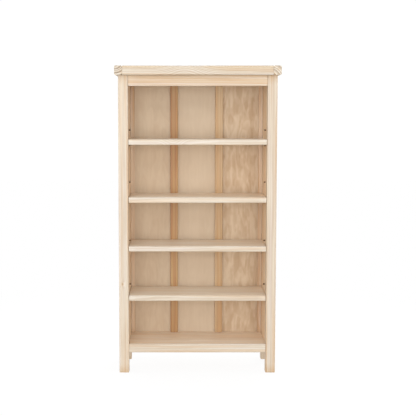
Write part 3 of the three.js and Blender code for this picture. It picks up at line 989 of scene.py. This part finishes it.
# ------------------------------------------------------------------ buttons and their screws

SCREW_STEEL = plated_steel("zinc_screw_steel", (0.42, 0.40, 0.36), (0.60, 0.58, 0.54), 0.38)


def extruded(outline, start, end):
    """A solid along the first coordinate. outline holds its corners in the other two."""
    bm = bmesh.new()
    first = [bm.verts.new((start, y, z)) for y, z in outline]
    second = [bm.verts.new((end, y, z)) for y, z in outline]
    bm.faces.new(first)
    bm.faces.new(second)
    for i in range(len(outline)):
        j = (i + 1) % len(outline)
        bm.faces.new((first[i], first[j], second[j], second[i]))
    bmesh.ops.recalc_face_normals(bm, faces=bm.faces)
    return bm


def button_screw(name, centre):
    """A cross-slotted screw. Its two blades cross, so each is cut on its own: one cutter of both can
    leave an empty mesh."""
    screw = to_object(name, turned(SCREW_HEAD, Z, centre, SCREW_SEGMENTS), SCREW_STEEL)
    slot = Matrix.Translation(centre + Vector((0, 0, SLOT_MIDDLE)))
    for angle in SLOT_ANGLES:
        blade = bmesh.new()
        place = slot @ Matrix.Rotation(angle, 4, "Z") @ Matrix.Diagonal((*SLOT_BLADE, 1.0))
        bmesh.ops.create_cube(blade, size=1.0, matrix=place)
        cut(screw, [blade])
    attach(screw, "case")


def button(node, rail_face, inward):
    """A wooden button: its lip sits in the rail's slot and a screw holds its body up to the top."""
    low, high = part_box(node)
    near = rail_face + inward * GAP
    far = high.y if inward > 0 else low.y
    tip = low.y if inward > 0 else high.y
    lip_top = low.z + (high.z - low.z) / 2
    outline = [(near, high.z), (far, high.z), (far, low.z), (tip, low.z), (tip, lip_top), (near, lip_top)]
    bm = extruded(outline, low.x, high.x)
    bevel(bm, bm.edges[:], BUTTON_EDGE_RADIUS, BUTTON_SEGMENTS)
    wood = pine(node + "_wood", "warm", X, (low + high) / 2, BUTTON_SEED + low.x * 10)
    block = to_object(node + "_block", bm, wood)
    mark_arrises(block.data, low, high, BUTTON_EDGE_RADIUS)
    stand_for(block, node)
    button_screw(node + "_screw", Vector(((low.x + high.x) / 2, (near + far) / 2, low.z)))


for number in (1, 2, 3):
    button(f"top_button_front_{number}", top_rail_high.y, 1)
    button(f"top_button_rear_{number}", rear_rail_low.y, -1)


# ------------------------------------------------------------------ floor, light and camera

def pale_floor():
    """A round floor that takes a soft shadow near the object and fades to plain white around it."""
    bm = bmesh.new()
    bmesh.ops.create_circle(bm, cap_ends=True, radius=FLOOR_RADIUS, segments=FLOOR_SEGMENTS)
    material, tree, shader = new_material("pale_floor")
    distance = tree.vector("LENGTH", tree.add("ShaderNodeTexCoord").outputs["Object"])
    shader.inputs["Base Color"].default_value = opaque(FLOOR_COLOUR)
    shader.inputs["Roughness"].default_value = 0.9
    shader.inputs["Specular IOR Level"].default_value = 0.1
    glow = tree.add("ShaderNodeEmission")
    glow.inputs["Color"].default_value = (1.0, 1.0, 1.0, 1.0)
    blend = tree.add("ShaderNodeMixShader")
    tree.feed(blend.inputs[0], tree.smooth(distance, *FLOOR_GLOW_REACH, to_low=FLOOR_GLOW))
    tree.feed(blend.inputs[1], shader.outputs["BSDF"])
    tree.feed(blend.inputs[2], glow.outputs["Emission"])
    tree.feed(tree.nodes["Material Output"].inputs["Surface"], blend.outputs["Shader"])
    floor = to_object("floor", bm, material, flat=False)
    floor.visible_diffuse = False


def soft_lamp(name, place, size, power):
    lamp = bpy.data.lights.new(name, "AREA")
    lamp.shape = "RECTANGLE"
    lamp.size, lamp.size_y = size
    lamp.energy = power
    holder = bpy.data.objects.new(name, lamp)
    holder.location = place
    holder.rotation_euler = (Vector(LAMP_TARGET) - Vector(place)).to_track_quat("-Z", "Y").to_euler()
    holder.visible_camera = False
    bpy.context.scene.collection.objects.link(holder)


def studio():
    """White surroundings for the camera, and softer light on the object: more from above than below."""
    world = bpy.data.worlds.new("studio")
    world.use_nodes = True
    tree = Tree(world.node_tree)
    seen = tree.add("ShaderNodeLightPath").outputs["Is Camera Ray"]
    direction = tree.parts(tree.add("ShaderNodeTexCoord").outputs["Generated"])
    above = tree.smooth(direction[Z], -0.1, 0.1)
    colour = tree.mix(tree.maths("MAXIMUM", above, seen), opaque(GROUND_COLOUR), opaque(SKY_COLOUR))
    light = tree.smooth(above, 0.0, 1.0, to_low=GROUND_LIGHT, to_high=SKY_LIGHT)
    background = world.node_tree.nodes["Background"]
    tree.feed(background.inputs["Color"], colour)
    tree.feed(background.inputs["Strength"], tree.smooth(seen, 0.0, 1.0, to_low=light, to_high=SEEN_LIGHT))
    bpy.context.scene.world = world
    bpy.context.scene.view_settings.view_transform = "Standard"
    for name, (place, size, power) in LAMPS.items():
        soft_lamp(name, place, size, power)
    pale_floor()


def camera():
    data = bpy.data.cameras.new("camera")
    data.sensor_width = SENSOR_WIDTH
    data.lens = LENS
    data.shift_x, data.shift_y = SHIFT
    data.clip_end = CAMERA_CLIP_END
    eye = bpy.data.objects.new("camera", data)
    eye.location = (CAMERA_X, FRONT - CAMERA_DISTANCE, CAMERA_HEIGHT)
    eye.rotation_euler = (math.radians(90.0 - CAMERA_PITCH), 0.0, 0.0)
    bpy.context.scene.collection.objects.link(eye)
    bpy.context.scene.camera = eye


studio()
camera()
